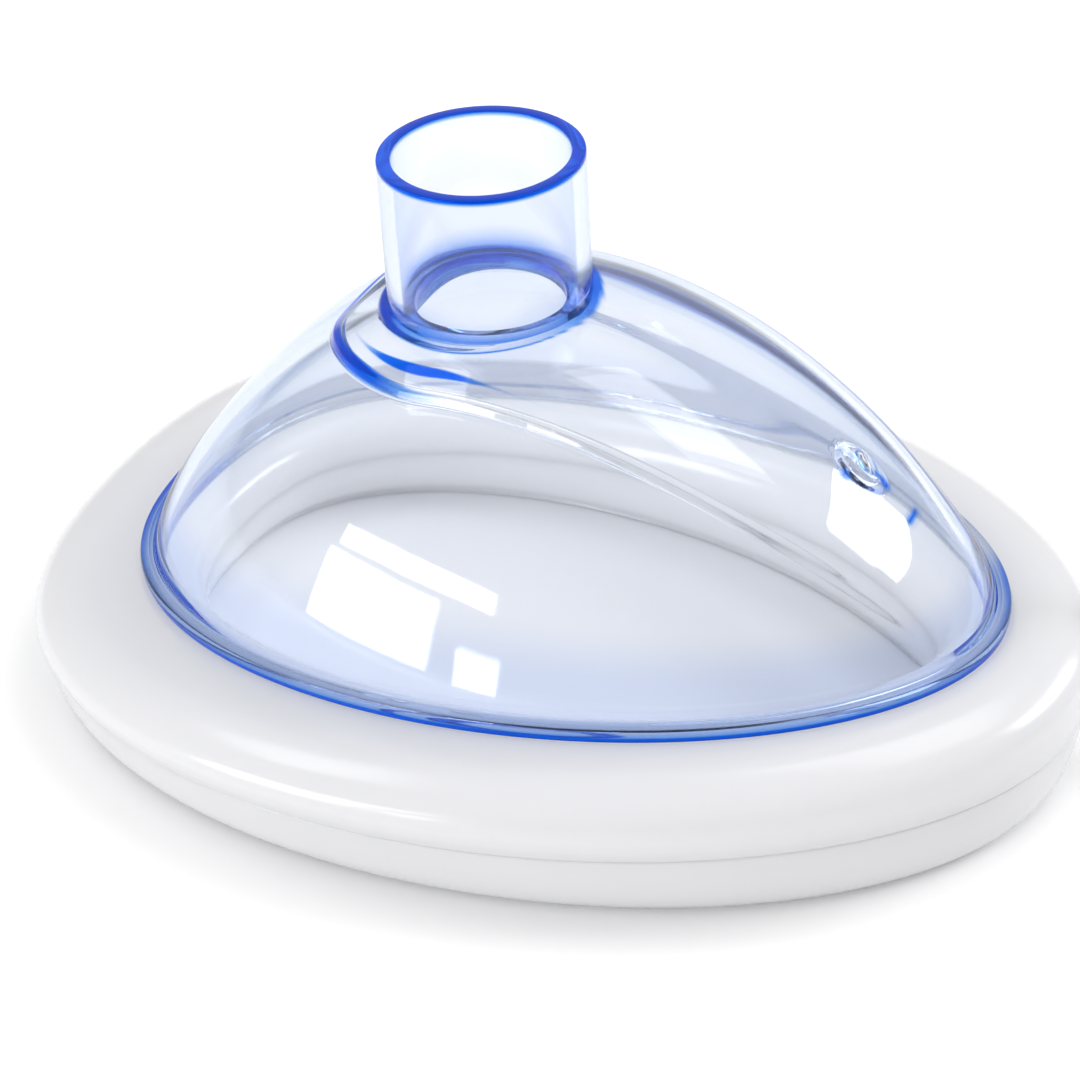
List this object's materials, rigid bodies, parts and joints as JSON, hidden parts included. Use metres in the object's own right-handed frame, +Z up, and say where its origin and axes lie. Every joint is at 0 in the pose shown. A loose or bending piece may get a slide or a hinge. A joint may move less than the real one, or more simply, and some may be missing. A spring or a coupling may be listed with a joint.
{
  "type": "bag valve mask face mask",
  "caption": "Adult air-cushion resuscitation face mask: clear rigid dome with a connector port on a soft inflated ring cushion with a sprung inflation valve.",
  "frame": {"origin": "on the resting plane, under the middle of the mask's bounding box", "axes": "+Z up through the dome, +X towards the nose end, +Y across"},
  "size_m": [0.1501, 0.109, 0.0748],
  "materials": {
    "shell": "clear, faint blue, glossy",
    "cushion": "soft white PVC, satin gloss",
    "sleeve": "soft PVC, satin",
    "valve_plastic": "moulded ABS, semi-gloss",
    "poppet": "moulded acetal, blue",
    "seal": "matt",
    "spring_steel": "drawn wire"
  },
  "bodies": {
    "cushion": {"cushion_lower": "cushion", "cushion_upper": "cushion"},
    "shell": {"mask_shell": "shell"},
    "valve": {"inflation_sleeve": "sleeve", "valve_body": "valve_plastic", "valve_retainer": "valve_plastic", "valve_spring": "spring_steel"},
    "poppet": {"valve_poppet": "poppet", "valve_seal": "seal"}
  },
  "joints": [
    {"name": "cushion_press", "type": "slide", "parent": "cushion", "child": "shell", "axis": [0, 0, -1], "range_m": [0, 0.0025], "stiffness_N_per_m": 3000, "deforming": ["cushion_upper", "cushion_lower"]},
    {"name": "valve_ride", "type": "slide", "parent": "cushion", "child": "valve", "axis": [0, 0, -1], "range_m": [0, 0.002]},
    {"name": "poppet_press", "type": "slide", "parent": "valve", "child": "poppet", "axis": [-0.9424, -0.3344, 0], "range_m": [0, 0.0015], "stiffness_N_per_m": 300, "deforming": ["valve_spring"]}
  ],
  "couplings": [
    {"joint": "valve_ride", "follows": "cushion_press", "ratio": 0.8}
  ]
}
